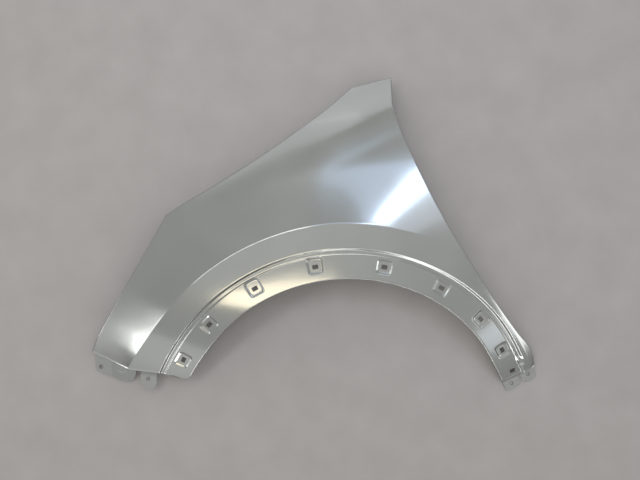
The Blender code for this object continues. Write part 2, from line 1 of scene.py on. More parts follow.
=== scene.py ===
# %% [markdown]
# # A car's front fender in silver paint
#
# The fender is one sheet of steel. A press draws it over a die, then trims it, folds its
# edges and pierces its holes, and it is painted silver before it is bolted to the car.
# The solids from the CAD step hold its true sizes with few facets. A glossy paint shows
# every facet, so this lesson draws the same sheet again from the same rules, with a much
# finer grid, and gives it paint, a floor, lights and a camera.

# %% Load the solids and measure the sheet
import math

import bmesh
import bpy
import numpy as np
from mathutils import Matrix, Vector


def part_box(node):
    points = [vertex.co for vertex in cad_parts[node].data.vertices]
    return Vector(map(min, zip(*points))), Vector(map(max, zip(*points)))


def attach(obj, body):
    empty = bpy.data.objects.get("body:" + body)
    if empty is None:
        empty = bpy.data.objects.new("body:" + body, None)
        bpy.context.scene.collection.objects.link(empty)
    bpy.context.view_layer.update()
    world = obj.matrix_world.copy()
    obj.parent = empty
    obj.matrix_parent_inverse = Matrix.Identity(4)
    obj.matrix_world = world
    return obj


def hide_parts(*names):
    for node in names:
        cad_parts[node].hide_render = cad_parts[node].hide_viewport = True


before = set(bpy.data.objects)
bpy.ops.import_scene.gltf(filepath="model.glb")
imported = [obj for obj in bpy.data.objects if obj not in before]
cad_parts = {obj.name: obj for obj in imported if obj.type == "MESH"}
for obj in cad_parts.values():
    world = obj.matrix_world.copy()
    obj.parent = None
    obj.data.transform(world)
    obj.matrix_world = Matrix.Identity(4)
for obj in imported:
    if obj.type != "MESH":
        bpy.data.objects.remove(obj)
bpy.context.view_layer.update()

MM = 0.001
low, high = (np.array(corner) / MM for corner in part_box("fender_panel"))
print("fender_panel, mm:", np.round(high - low, 1))

# %% [markdown]
# ## Where the wheel's centre is
#
# Every rule below counts from the wheel's centre, because the arch, its steps and its
# clip seats are all rings round it. The door side reaches furthest to the rear and the
# sill tabs reach furthest down, so the box of the solid gives the centre's place.

# %% Find the wheel's centre
DOOR_REACH = 469.4
SILL_REACH = 61.94

wheel_centre = np.array([high[0] - DOOR_REACH, low[1] + SILL_REACH, 0.0])
print("wheel's centre, mm:", np.round(wheel_centre, 1))

# %% [markdown]
# ## Small rules that the shape is made of
#
# All places are arrays, so one call works out a whole row of the grid at once. `ramp` is
# a smooth step, and `roll` is a surface that curves away past a line. They are enough
# for the crown of the panel and for its flare.

# %% Ramp and roll
def ramp(value, start, end):
    """Smooth step from 0 at start to 1 at end."""
    part = np.clip((value - start) / (end - start), 0.0, 1.0)
    return part * part * (3.0 - 2.0 * part)


def roll(distance, strength):
    """Drop of a surface that curves away past a line."""
    return strength * np.maximum(0.0, distance) ** 2


# %% [markdown]
# ## The arch's rings
#
# The arch is a part of a circle, but its rings open out a little at both ends, where the
# legs of the fender turn towards the bumper and the sill.

# %% Rings of the arch
ARCH_RADIUS = 376.0
REAR_ANGLE = -4.4
FRONT_ANGLE = 134.5
STEP_RADIUS = 442.0
CREASE_RADIUS = 493.0
FRONT_SPREAD = 9.0
FRONT_SPREAD_FROM = 115.0
FRONT_SPREAD_OVER = 18.0
REAR_SPREAD = 7.0
REAR_SPREAD_FROM = 8.0
REAR_SPREAD_OVER = 12.0
SPREAD_LIMIT = 1.2
CREASE_FRONT_SPREAD = 12.0


def toward_front(angle):
    """How far a spoke is into the front end of the arch."""
    return np.clip((angle - FRONT_SPREAD_FROM) / FRONT_SPREAD_OVER, 0.0, SPREAD_LIMIT)


def toward_rear(angle):
    """How far a spoke is into the rear end of the arch."""
    return np.clip((REAR_SPREAD_FROM - angle) / REAR_SPREAD_OVER, 0.0, SPREAD_LIMIT)


def spread(angle):
    """How much the rings open out at an angle."""
    return FRONT_SPREAD * toward_front(angle) ** 2 + REAR_SPREAD * toward_rear(angle) ** 2


def crease_ring(angle):
    """Radius of the flare's crease at an angle."""
    return CREASE_RADIUS + spread(angle) + CREASE_FRONT_SPREAD * toward_front(angle) ** 2


openings = spread(np.array([REAR_ANGLE, FRONT_ANGLE]))
print("opening of the rings at both ends, mm:", openings.round(1))

# %% [markdown]
# ## The skin
#
# The skin is the outer face, and its height is a sum: the crown of the panel, the flare
# that stands out round the arch, the shoulder that grows towards the door, less the
# recess that takes the arch moulding and the seats for its clips. A sculpted mesh could
# give the same form, but a sum of rules keeps every highlight as smooth as the drawn
# steel, and each feature can be changed by itself.

# %% Crown, flare and shoulder
CROWN_HEIGHT = 118.0
CROWN_MIDDLE = (100.0, 400.0)
LOW_ROLL_FROM = 250.0
# how fast the crown falls to the rear, the front, the hood, the arch, the ends and the nose
CROWN_FALLS = (1.2e-4, 1.4e-4, 6.5e-4, 3.0e-4, 3.7e-4, 8.0e-4)
FLARE_HEIGHT = 14.0
FLARE_REACH = 110.0
FLARE_SLOPE = 0.10
FLARE_GROWS = (38.0, 70.0)
CREASE_HALF_WIDTH = 3.0
SHOULDER_HEIGHT = 5.0
SHOULDER_LINE = 632.0
SHOULDER_HALF_WIDTHS = (75.0, 55.0)
SHOULDER_GROWS = (150.0, 380.0)
RIDGE_ROUNDING = 4.0


def crown(x, y):
    """Height of the plain panel."""
    to_rear, to_front, to_hood, to_arch, to_ends, to_nose = CROWN_FALLS
    middle_x, middle_y = CROWN_MIDDLE
    drop = roll(x - middle_x, to_rear) + roll(middle_x - x, to_front)
    drop += roll(y - middle_y, to_hood) + roll(middle_y - y, to_arch)
    slant = (x + y) / math.sqrt(2.0)
    drop += roll(LOW_ROLL_FROM - y, to_ends) + roll(LOW_ROLL_FROM - slant, to_nose)
    return CROWN_HEIGHT - drop


def flare(radius, angle):
    """Extra height round the arch, with its crease."""
    past = radius - crease_ring(angle)
    beyond = np.clip(past / FLARE_REACH, 0.0, 1.0)
    outside = FLARE_HEIGHT * (1.0 - beyond) ** 2
    inside = FLARE_HEIGHT + FLARE_SLOPE * past
    blend = ramp(past, -CREASE_HALF_WIDTH, CREASE_HALF_WIDTH)
    return ramp(angle, *FLARE_GROWS) * (inside * (1.0 - blend) + outside * blend)


def shoulder(x, y):
    """Extra height of the shoulder's ridge, strongest at the door."""
    away = np.hypot(y - SHOULDER_LINE, RIDGE_ROUNDING) - RIDGE_ROUNDING
    half = np.where(y > SHOULDER_LINE, *SHOULDER_HALF_WIDTHS)
    return ramp(x, *SHOULDER_GROWS) * SHOULDER_HEIGHT * np.maximum(0.0, 1.0 - away / half)


print("height of the crown at its middle, mm:", float(crown(*np.array(CROWN_MIDDLE))))

# %% [markdown]
# ## Walls of pressed steps
#
# A pressed step has a straight wall with a small fillet at its foot and its top. A smooth
# ramp would do for a broad form, but a step only 5 mm wide looks soft with it. Both steps
# of the recess grow in the rear leg, so a second rule says how far a spoke is into it.

# %% Walls and the rear leg
FILLET = 0.22
LEG_BEGINS = (-55.0, -22.0)


def wall(value, start, end):
    """Step from 0 to 1 with a straight wall and a small fillet at its foot and its top."""
    part = np.clip((value - start) / (end - start), 0.0, 1.0)
    slope = 1.0 / (1.0 - FILLET)
    foot = slope * part ** 2 / (2.0 * FILLET)
    top = 1.0 - slope * (1.0 - part) ** 2 / (2.0 * FILLET)
    middle = slope * (part - FILLET / 2.0)
    return np.where(part < FILLET, foot, np.where(part > 1.0 - FILLET, top, middle))


def in_leg(angle):
    """How far a spoke is into the rear leg."""
    return ramp(-angle, *LEG_BEGINS)


print("wall at a quarter, a half and three quarters:", wall(np.array([0.25, 0.5, 0.75]), 0.0, 1.0))

# %% [markdown]
# ## The recess
#
# A plastic moulding covers the recess on the car. Its edge rests behind the outer step,
# and a shallow inner step stiffens the bed. At the rear end the outer step fades out and
# the inner one takes over its depth. Outside the recess the sheet rolls down to the door.

# %% Steps of the recess
STEP_END = (-2.0, 1.8)
STEP_DEPTH = 5.0
STEP_WIDTH = 5.0
STEP_WIDENING = 2.5
STEP_WIDENS = (-70.0, -45.0)
INNER_STEP_RADIUS = 431.0
INNER_STEP_DEPTH = 1.8
INNER_STEP_WIDTH = 3.5
INNER_NARROWING = 1.1
INNER_NARROWS = (70.0, 100.0)
LEG_DEEPENING = 1.2
LEG_WIDENING = 3.0
LEG_ROLL_FROM = 446.0
LEG_ROLL_RADIUS = 45.0
LEG_ROLL_GROWS = (-32.0, -18.0)
LEG_BEND = 8.0


def leg_roll(ring, angle):
    """Drop of the sheet outside the recess at the rear leg: a bend, then straight on."""
    past = np.maximum(0.0, ring - LEG_ROLL_FROM)
    bend = np.minimum(past, LEG_BEND)
    return ramp(-angle, *LEG_ROLL_GROWS) * bend * (past - bend / 2.0) / LEG_ROLL_RADIUS


def recess(ring, angle):
    """Depth of the two steps at a ring of the arch, both larger at the rear leg."""
    tail = ramp(angle, *STEP_END)
    foot = STEP_RADIUS - STEP_WIDTH - STEP_WIDENING * ramp(-angle, *STEP_WIDENS)
    outer = 1.0 - wall(ring, foot, STEP_RADIUS)
    width = INNER_STEP_WIDTH - INNER_NARROWING * ramp(angle, *INNER_NARROWS)
    width = width + LEG_WIDENING * in_leg(angle)
    inner = 1.0 - wall(ring, INNER_STEP_RADIUS - width, INNER_STEP_RADIUS)
    outer_depth = STEP_DEPTH + LEG_DEEPENING * in_leg(angle)
    inner_depth = INNER_STEP_DEPTH + LEG_DEEPENING * in_leg(angle) + outer_depth * (1.0 - tail)
    return outer_depth * tail * outer + inner_depth * inner


print("depth of the recess at the top, mm:", float(recess(np.array(400.0), np.array(90.0))))

# %% [markdown]
# ## Clip seats
#
# The moulding's clips go into nine holes, and the press sinks a shallow pocket round each
# of the first eight, so that the clip's foot sits flat. A pocket is a rectangle with round
# corners: its distance rule measures how far inside it a place is, and a wall follows from
# that. The two pockets at the top are longer outward.

# %% Seats round the clip holes
CLIP_RADIUS = 408.0
CLIP_ANGLES = (126.9, 112.2, 94.3, 75.1, 54.4, 35.6, 19.3, 6.0)
OPEN_SEATS = (94.3, 75.1)
OPEN_SEAT_REACH = 23.0
SEAT_DEPTH = 2.4
SEAT_ALONG = 36.0
SEAT_ACROSS = 33.0
SEAT_WALL = 5.5
SEAT_CORNER = 8.0


def seat(ring, angle):
    """Depth of the clip seats at a ring of the arch."""
    depth = np.zeros_like(ring)
    for middle in CLIP_ANGLES:
        along = np.abs(np.radians(angle - middle)) * CLIP_RADIUS
        across = ring - CLIP_RADIUS
        if middle in OPEN_SEATS:
            across = np.where(across > 0.0, across * SEAT_ACROSS / 2.0 / OPEN_SEAT_REACH, across)
        side = np.maximum(0.0, along - SEAT_ALONG / 2.0 + SEAT_CORNER)
        top = np.maximum(0.0, np.abs(across) - SEAT_ACROSS / 2.0 + SEAT_CORNER)
        inside = SEAT_CORNER - np.hypot(side, top)
        depth = np.maximum(depth, SEAT_DEPTH * wall(inside, 0.0, SEAT_WALL))
    return depth


print("clip seats:", len(CLIP_ANGLES))

# %% [markdown]
# ## The whole skin
#
# With all its terms at hand, the skin is one short sum. The flare and the crease count
# from the true radius. The recess and the seats count from the arch's rings, which open
# out at both ends.

# %% Add up the skin
def skin(x, y):
    """Height of the outer face at a place."""
    radius = np.hypot(x, y)
    angle = np.degrees(np.arctan2(y, x))
    ring = radius - spread(angle)
    height = crown(x, y) + flare(radius, angle) + shoulder(x, y)
    return height - recess(ring, angle) - seat(ring, angle) - leg_roll(ring, angle)


print("height at the top of the arch, mm:", round(float(skin(np.array(0.0), np.array(450.0))), 1))

# %% [markdown]
# ## The outline
#
# The outline runs along the door, up to the tip by the windscreen, along the hood and
# down beside the lamp. Each side is given by a few places, in mm from the wheel's centre.

# %% Places on the outline
REAR_FOOT = (466.0, -30.0)
SHOULDER_CORNER = (409.0, 645.0)
TIP = (439.0, 706.0)
HOOD_REAR_CORNER = (349.0, 725.0)
HOOD_FRONT_CORNER = (-147.0, 634.0)
NOSE_CORNER = (-446.0, 431.0)
DOOR = (REAR_FOOT, (469.5, 5.0), (448.5, 75.0), (427.0, 165.0), (411.0, 262.0),
        (400.0, 345.0), (394.0, 444.0), (396.0, 536.0), (401.0, 602.0), SHOULDER_CORNER)
HOOD = (HOOD_REAR_CORNER, (284.0, 703.0), (203.0, 685.0), (96.0, 665.0), (-28.0, 648.0),
        (-124.0, 638.0), HOOD_FRONT_CORNER)
LAMP = (HOOD_FRONT_CORNER, (-201.0, 592.0), (-276.0, 539.0), (-351.0, 491.0), (-413.0, 454.0),
        NOSE_CORNER)
print("places on the sides:", len(DOOR), len(HOOD), len(LAMP))

# %% [markdown]
# ## Curves and spokes
#
# Smooth curves go through the places. Each spoke of the grid runs from the arch to one
# place on the outline, and each corner of the outline falls on a spoke of its own. The
# door side is steep against the spokes, so a table says where each of them ends on it.

# %% Curves through the places
SPOKE_SHOULDER = 60.0
SPOKE_TIP = 72.0
SPOKE_HOOD_REAR = 79.0
SPOKE_HOOD_FRONT = 102.0
# spokes, and how far up the door side they end
SPOKES_DOOR = ((REAR_ANGLE, -30.0), (0.0, 2.0), (10.0, 79.0), (20.0, 155.0), (30.0, 240.0),
               (36.0, 300.0), (42.0, 385.0), (50.0, 500.0), (SPOKE_SHOULDER, 645.0))
DOOR_SAMPLES = 400


def curve_through(points, share):
    """Places at shares of the way along a smooth curve through some points."""
    chain = np.array(points, dtype=float)
    steps = np.linalg.norm(np.diff(chain, axis=0), axis=1)
    marks = np.concatenate(([0.0], np.cumsum(steps)))
    slopes = np.gradient(chain, marks, axis=0)
    where = np.clip(share, 0.0, 1.0) * marks[-1]
    span = np.clip(np.searchsorted(marks, where, side="right") - 1, 0, len(steps) - 1)
    length = steps[span][:, None]
    part = (where - marks[span])[:, None] / length
    place = chain[span] * (2 * part ** 3 - 3 * part ** 2 + 1)
    place += slopes[span] * length * (part ** 3 - 2 * part ** 2 + part)
    place += chain[span + 1] * (3 * part ** 2 - 2 * part ** 3)
    return place + slopes[span + 1] * length * (part ** 3 - part ** 2)


def door_share(angle):
    """Share of the way along the door's side at which a spoke meets it."""
    shares = np.linspace(0.0, 1.0, DOOR_SAMPLES)
    heights = curve_through(DOOR, shares)[:, 1]
    return np.interp(np.interp(angle, *zip(*SPOKES_DOOR)), heights, shares)


halfway = curve_through(HOOD, np.array([0.5]))[0]
print("middle of the hood side, mm:", halfway.round(1))

# %% [markdown]
# ## Where the spokes end
#
# The sheet folds down all along its outline, and it has to fold square to its edge. So a
# second rule gives the direction into the sheet, from two places just beside the spoke.

# %% The outline and the way into the sheet
BESIDE = 0.05


def outline(angle):
    """Places on the outline that spokes of the grid run to."""
    sides = ((REAR_ANGLE, SPOKE_SHOULDER, DOOR),
             (SPOKE_SHOULDER, SPOKE_TIP, (SHOULDER_CORNER, TIP)),
             (SPOKE_TIP, SPOKE_HOOD_REAR, (TIP, HOOD_REAR_CORNER)),
             (SPOKE_HOOD_REAR, SPOKE_HOOD_FRONT, HOOD),
             (SPOKE_HOOD_FRONT, FRONT_ANGLE, LAMP))
    place = np.zeros((len(angle), 2))
    for start, end, points in sides:
        on_side = (angle >= start) & (angle <= end)
        share = (angle - start) / (end - start)
        if points is DOOR:
            share = door_share(angle)
        place[on_side] = curve_through(points, share)[on_side]
    return place


def inward(angle):
    """Unit directions from the outline into the sheet."""
    ahead = outline(np.minimum(FRONT_ANGLE, angle + BESIDE))
    along = ahead - outline(np.maximum(REAR_ANGLE, angle - BESIDE))
    along /= np.linalg.norm(along, axis=1)[:, None]
    return np.stack((-along[:, 1], along[:, 0]), axis=1)


corners = outline(np.array([SPOKE_TIP, SPOKE_HOOD_FRONT]))
print("outline's corners, mm:", np.round(corners, 1).tolist())

# %% [markdown]
# ## Rows of the grid
#
# A row follows one ring of the arch, or a share of the way from the recess to the
# crease, or from the crease to the outline. The last rows go round the folded edge. The
# end spokes bend, so that the ends of the sheet lie where the bumper and the sill are.

# %% Places of the rows
BEND_RADIUS = 2.0
LIP_CORNER_RADIUS = 16.0
SEAT_EDGE = CLIP_RADIUS + SEAT_ACROSS / 2.0
REAR_END_Y = -33.0
REAR_BENT_OVER = 2.5
FRONT_END_ANGLES = (133.9, 136.1)
FRONT_END_RADII = (440.0, 515.0)
FRONT_BENT_OVER = 4.5
NARROW_UP_TO = 30.0
CREASE_SHARE = 0.5
CREASE_FREED = 4.0


def polar(radius, angle):
    """Places at radii and angles from the wheel's centre."""
    turned = np.radians(angle)
    return np.stack((radius * np.cos(turned), radius * np.sin(turned)), axis=1)


def bent_angle(angle, radius):
    """Angles of spokes at a radius, so that the end spokes follow the sheet's ends."""
    start, end = FRONT_END_ANGLES
    front_end = start + (end - start) * ramp(radius, *FRONT_END_RADII)
    rear_end = np.degrees(np.arcsin(REAR_END_Y / radius))
    to_front = ramp(angle, FRONT_ANGLE - FRONT_BENT_OVER, FRONT_ANGLE)
    to_rear = 1.0 - ramp(angle, REAR_ANGLE, REAR_ANGLE + REAR_BENT_OVER)
    return angle + to_front * (front_end - FRONT_ANGLE) + to_rear * (rear_end - REAR_ANGLE)


def ring_point(ring, angle):
    """Places of an arch ring, with the arch's front corner rounded off."""
    radius = ring + spread(angle)
    side = np.clip(LIP_CORNER_RADIUS - np.radians(FRONT_ANGLE - angle) * ARCH_RADIUS, 0.0, None)
    cut = LIP_CORNER_RADIUS - np.sqrt(np.maximum(0.0, LIP_CORNER_RADIUS ** 2 - side ** 2))
    radius += cut * np.clip(1.0 - (ring - ARCH_RADIUS) / (SEAT_EDGE - ARCH_RADIUS), 0.0, 1.0)
    return polar(radius, bent_angle(angle, radius))


def crease_point(angle):
    """Places of the crease, kept inside the outline near the door."""
    edge = np.linalg.norm(outline(np.minimum(angle, NARROW_UP_TO)), axis=1)
    step_edge = STEP_RADIUS + spread(angle)
    limit = step_edge + CREASE_SHARE * (edge - step_edge)
    limit = limit + CREASE_FREED * np.maximum(0.0, angle - NARROW_UP_TO)
    radius = np.minimum(crease_ring(angle), limit)
    return polar(radius, bent_angle(angle, radius))


def lifted(place, height=None):
    """Places with the skin's height, or with one that is given."""
    if height is None:
        height = skin(place[:, 0], place[:, 1])
    return np.column_stack((place, height))


print("front end of the crease, mm:", crease_point(np.array([FRONT_ANGLE]))[0].round(1))

# %% [markdown]
# ## Folded edges
#
# Each edge turns down in a 2 mm bend, which hides the cut edge and makes the thin sheet
# stiff. The lip of the arch is shallow at the sill. A bevel modifier could round the fold,
# but rows of the grid keep it even where the outline turns.

# %% Lip of the arch
LIP_DEPTH = 12.0
SILL_LIP_DEPTH = 5.0
LIP_GROWS_OVER = 30.0


def lip_row(part, angle):
    """Lip of the arch: from 0 at its foot to 1 at the bend, and to 2 at the skin."""
    growth = ramp(angle, REAR_ANGLE, REAR_ANGLE + LIP_GROWS_OVER)
    depth = SILL_LIP_DEPTH + (LIP_DEPTH - SILL_LIP_DEPTH) * growth
    top = ring_point(ARCH_RADIUS + BEND_RADIUS, angle)
    height = skin(top[:, 0], top[:, 1]) - BEND_RADIUS
    if part <= 1.0:
        foot = height - (depth - BEND_RADIUS) * (1.0 - part)
        return lifted(ring_point(ARCH_RADIUS, angle), foot)
    turn = math.radians(90.0 * (part - 1.0))
    place = ring_point(ARCH_RADIUS + BEND_RADIUS * (1.0 - math.cos(turn)), angle)
    return lifted(place, height + BEND_RADIUS * math.sin(turn))


print("foot of the lip at the top, mm:", lip_row(0.0, np.array([90.0]))[0].round(1))

# %% [markdown]
# ## Flanges
#
# The lamp and door sides have a short flange. The hood side has a deeper one that leans
# in under the hood and carries four round lobes, each with a hole for a bolt.

# %% Flanges of the outline
FLANGE_DEPTH = 12.0
HOOD_FLANGE_DEPTH = 20.0
GUTTER_LEAN = 8.0
FLANGE_FOOT = 14.0
LOBE_ANGLES = (81.0, 85.5, 90.0, 99.5)
LOBE_SPAN = 1.8
LOBE_LENGTH = 7.0
LOBE_ROUNDNESS = 3


def fold_row(part, angle):
    """Folded edge: 0 to 1 is the bend, to 2 the flange, to 3 the gutter, to 4 the lobes."""
    edge, into = outline(angle), inward(angle)
    crest = edge + into * BEND_RADIUS
    top = skin(crest[:, 0], crest[:, 1])
    turn = math.radians(90.0 * min(1.0, part))
    place = crest - into * BEND_RADIUS * math.sin(turn)
    height = top - BEND_RADIUS * (1.0 - math.cos(turn))
    on_hood = (angle >= SPOKE_HOOD_REAR) & (angle <= SPOKE_HOOD_FRONT)
    share = min(1.0, max(0.0, part - 1.0))
    place = place + into * (np.where(on_hood, GUTTER_LEAN, 0.0) * share)[:, None]
    depth = np.where(on_hood, HOOD_FLANGE_DEPTH, FLANGE_DEPTH)
    height = height - (depth - BEND_RADIUS) * share
    if part > 2.0:
        height = height + (FLANGE_FOOT - height) * min(1.0, part - 2.0)
    if part > 3.0:
        side = np.min(np.abs(angle[:, None] - np.array(LOBE_ANGLES)), axis=1) / (LOBE_SPAN / 2.0)
        rounding = 1.0 - np.minimum(1.0, side) ** LOBE_ROUNDNESS
        foot = LOBE_LENGTH * (1.0 - np.sqrt(np.maximum(0.0, rounding)))
        height = height + (foot - height) * (part - 3.0)
    return lifted(place, height)


print("foot of a lobe, mm:", fold_row(4.0, np.array([90.0]))[0].round(1))


# %% Any row of the grid
def row_points(row, angle):
    """Points of one row of the grid at some spokes."""
    zone, value = row
    if zone == "lip":
        return lip_row(value, angle)
    if zone == "fold":
        return fold_row(value, angle)
    if zone == "ring":
        return lifted(ring_point(value, angle))
    if zone == "flare":
        start = ring_point(STEP_RADIUS, angle)
        return lifted(start + (crease_point(angle) - start) * value)
    start = crease_point(angle)
    end = outline(angle) + inward(angle) * BEND_RADIUS
    return lifted(start + (end - start) * value)


# %% [markdown]
# ## Bolt tabs at both ends
#
# Past each end of the sheet the steel turns down. Some stretches go on as tabs that are
# bolted to the bumper's holder and to the sill. The tab at the nose is the widest: it
# has a fold line beside its bolt and a short bead that stiffens it.

# %% Sizes of the tabs
# inner radius, outer radius, step out, length, level, cut at the inner and the outer side
NOSE_BRACKET = (510.0, 612.0, 6.0, 37.5, 7.0, 32.0, 4.0)
LEG_TAB = (457.0, 491.0, 13.0, 32.0, 30.0, 15.0, 15.0)
SILL_TABS = ((379.5, 424.5, 5.0, 22.0, 3.0, 4.0, 5.0),
             (428.5, 464.5, 5.0, 22.0, 3.0, 10.0, 12.0))
TABS = {"front": (NOSE_BRACKET, LEG_TAB), "rear": SILL_TABS}
END_ANGLE = {"front": FRONT_ANGLE, "rear": REAR_ANGLE}
FRONT_HEADING = math.radians(245.0)
HEADING = {"front": (math.cos(FRONT_HEADING), math.sin(FRONT_HEADING)), "rear": (0.0, -1.0)}
TAB_TOLERANCE = 0.1


def tab_of(row, end):
    """The tab that a row ends in, if any, and the row's radius there."""
    if row[0] in ("lip", "fold"):
        return None, 0.0
    place = row_points(row, np.array([END_ANGLE[end]]))[0]
    radius = math.hypot(place[0], place[1])
    for tab in TABS[end]:
        if tab[0] - TAB_TOLERANCE <= radius <= tab[1] + TAB_TOLERANCE:
            return tab, radius
    return None, radius


print("tabs:", {end: len(tabs) for end, tabs in TABS.items()})

# %% [markdown]
# ## Past the ends of the sheet
#
# Each row of the grid goes on past both ends: round the bend, down the wall and out along
# the tab, if there is one. The corners of a tab are round, so its rows differ in length.

# %% Points past the ends
END_FLANGE_DEPTH = 7.0
WALL_EASE = -0.3
TAB_ROUNDNESS = 2.5
BRACKET_FLAT_FROM = 570.0
BRACKET_RISE = 9.0
BEAD_FROM = np.array([-419.0, 377.0])
BEAD_TO = np.array([-402.0, 354.0])
BEAD_HEIGHT = 1.4
BEAD_HALF_WIDTH = 5.0


def bead(place):
    """Height of the stiffening bead on the nose bracket."""
    along = BEAD_TO - BEAD_FROM
    share = np.clip((place - BEAD_FROM) @ along / (along @ along), 0.0, 1.0)
    away = np.linalg.norm(place - BEAD_FROM - share * along)
    return BEAD_HEIGHT * (1.0 - ramp(away, 0.0, BEAD_HALF_WIDTH))


def end_point(row, end, value):
    """Point past an end of the sheet: 0 to 1 is the bend, to 2 the wall, to 3 the tab."""
    angle = np.array([END_ANGLE[end]])
    point = row_points(row, angle)[0]
    place, height = point[:2], point[2]
    out = np.array([0.0, -1.0])
    if end == "front":
        before = row_points(row, angle - BESIDE)[0][:2]
        out = (place - before) / np.linalg.norm(place - before)
    turn = math.radians(90.0 * min(1.0, value))
    place = place + out * BEND_RADIUS * math.sin(turn)
    height -= BEND_RADIUS * (1.0 - math.cos(turn))
    if value <= 1.0:
        return place[0], place[1], height
    tab, radius = tab_of(row, end)
    share = min(1.0, value - 1.0)
    if tab is None:
        return place[0], place[1], height - (END_FLANGE_DEPTH - BEND_RADIUS) * share
    inner, outer, step_out, length, level, inner_cut, outer_cut = tab
    if tab is NOSE_BRACKET and radius < BRACKET_FLAT_FROM:
        level += BRACKET_RISE * (BRACKET_FLAT_FROM - radius) / (BRACKET_FLAT_FROM - inner)
    place = place + out * step_out * share
    height += (level - height) * float(ramp(share, WALL_EASE, 1.0))
    if value > 2.0:
        side = min(1.0, max(-1.0, (radius - inner) / (outer - inner) * 2.0 - 1.0))
        cut = inner_cut if side < 0.0 else outer_cut
        length -= cut * (1.0 - math.sqrt(1.0 - min(1.0, abs(side)) ** TAB_ROUNDNESS))
        place = place + np.array(HEADING[end]) * length * (value - 2.0)
        if tab is NOSE_BRACKET:
            height += float(bead(place))
    return place[0], place[1], height


wall_foot = end_point(("ring", STEP_RADIUS), "rear", 2.0)
print("foot of the wall at the sill, mm:", np.round(wall_foot, 1))

# %% [markdown]
# ## Spacing of the grid
#
# Steps and the walls of the seats need rows and spokes less than 1 mm apart. The
# open panel does well with 5 to 9 mm, because its curve is so gentle. Spreading the grid
# like this keeps the sheet under 200,000 triangles.

# %% Spacing
def between(start, end, widest):
    """Evenly spaced values from start to end, without the first."""
    count = max(1, math.ceil(abs(end - start) / widest - 1e-9))
    return [start + (end - start) * step / count for step in range(1, count + 1)]


def stations(stops):
    """Values through stops, each given with the widest gap before it."""
    values = [stops[0][0]]
    for value, widest in stops[1:]:
        values += between(values[-1], value, widest)
    return values


print("values from 0 to 1 by 0.3 or less:", stations(((0.0, 0.0), (1.0, 0.3))))

# %% Rows of the grid
MARGIN = 0.5
SEAT_ROW_GAP = 0.8
STEP_ROW_GAP = 0.7


def grid_rows():
    """Rows from the foot of the arch's lip to the lobes of the hood's flange."""
    seat_low = CLIP_RADIUS - SEAT_ACROSS / 2.0
    rings = stations(((ARCH_RADIUS + BEND_RADIUS, 0.0),
                      (seat_low - MARGIN, 4.0), (seat_low + SEAT_WALL + MARGIN, SEAT_ROW_GAP),
                      (SEAT_EDGE - SEAT_WALL - MARGIN, 3.6), (SEAT_EDGE + MARGIN, SEAT_ROW_GAP),
                      (INNER_STEP_RADIUS, STEP_ROW_GAP),
                      (STEP_RADIUS - STEP_WIDTH - STEP_WIDENING, 3.0),
                      (STEP_RADIUS, STEP_ROW_GAP)))
    front = np.array([FRONT_ANGLE])
    start = float(np.hypot(*ring_point(STEP_RADIUS, front)[0]))
    crease = float(np.hypot(*crease_point(front)[0]))
    edge = float(np.hypot(*(outline(front) + inward(front) * BEND_RADIUS)[0]))
    tab_edges = (LEG_TAB[0], LEG_TAB[1], NOSE_BRACKET[0])
    tab_shares = [(radius - start) / (crease - start) for radius in tab_edges]
    bracket_share = (NOSE_BRACKET[1] - crease) / (edge - crease)
    flares = stations(((0.0, 0.0), (tab_shares[0], 0.05), (tab_shares[1], 0.1),
                       (tab_shares[2], 0.08), (1.0, 0.02)))
    panels = stations(((0.0, 0.0), (0.05, 0.01), (bracket_share, 0.037),
                       (0.985, 0.03), (1.0, 0.02)))
    folds = (0.25, 0.5, 0.75, 1.0, 1.5, 2.0, 2.5, 3.0, 3.35, 3.7, 4.0)
    rows = [("lip", part) for part in (0.0, 0.35, 0.7, 1.0, 1.25, 1.5, 1.75)]
    rows += [("ring", ring) for ring in rings] + [("flare", share) for share in flares[1:]]
    return rows + [("panel", share) for share in panels[1:]] + [("fold", part) for part in folds]


rows = grid_rows()
print("rows", len(rows))

# %% Spokes of the grid
WIDEST_SPOKE_GAP = 0.62
SEAT_SPOKE_GAP = 0.11
FINE_SPOKE_GAP = 0.2


def spoke_angles():
    """Angles of the spokes, close together at walls, lobes and the end of the outer step."""
    fine = [(*STEP_END, FINE_SPOKE_GAP)]
    for middle in CLIP_ANGLES:
        for side in (-1.0, 1.0):
            edges = (side * (SEAT_ALONG / 2.0 + MARGIN),
                     side * (SEAT_ALONG / 2.0 - SEAT_WALL - MARGIN))
            first, last = sorted(middle + math.degrees(edge / CLIP_RADIUS) for edge in edges)
            fine.append((first, last, SEAT_SPOKE_GAP))
    for middle in LOBE_ANGLES:
        fine.append((middle - LOBE_SPAN / 2.0, middle + LOBE_SPAN / 2.0, FINE_SPOKE_GAP))
    stops = {REAR_ANGLE, FRONT_ANGLE, SPOKE_SHOULDER, SPOKE_TIP, SPOKE_HOOD_REAR, SPOKE_HOOD_FRONT}
    for first, last, gap in fine:
        stops.update((first, last))
    angles = [REAR_ANGLE]
    for stop in sorted(stops)[1:]:
        centre = (angles[-1] + stop) / 2.0
        gaps = [gap for first, last, gap in fine if first < centre < last]
        angles += between(angles[-1], stop, min([WIDEST_SPOKE_GAP] + gaps))
    return np.array(angles)


spokes = spoke_angles()
end_values = stations(((0.25, 0.0), (1.0, 0.25), (2.0, 0.2), (3.0, 0.1)))
print("spokes", len(spokes), "end columns", len(end_values))

# %% [markdown]
# ## From grid to sheet
#
# The grid is one long strip: the rear tabs, the spokes and the front tabs. The cells that
# the trimming die cuts away are left out, which are those between the tabs and those
# between the lobes. The facets of the solid cut its crests off by 0.3 mm, so the heights
# are scaled down by that much.

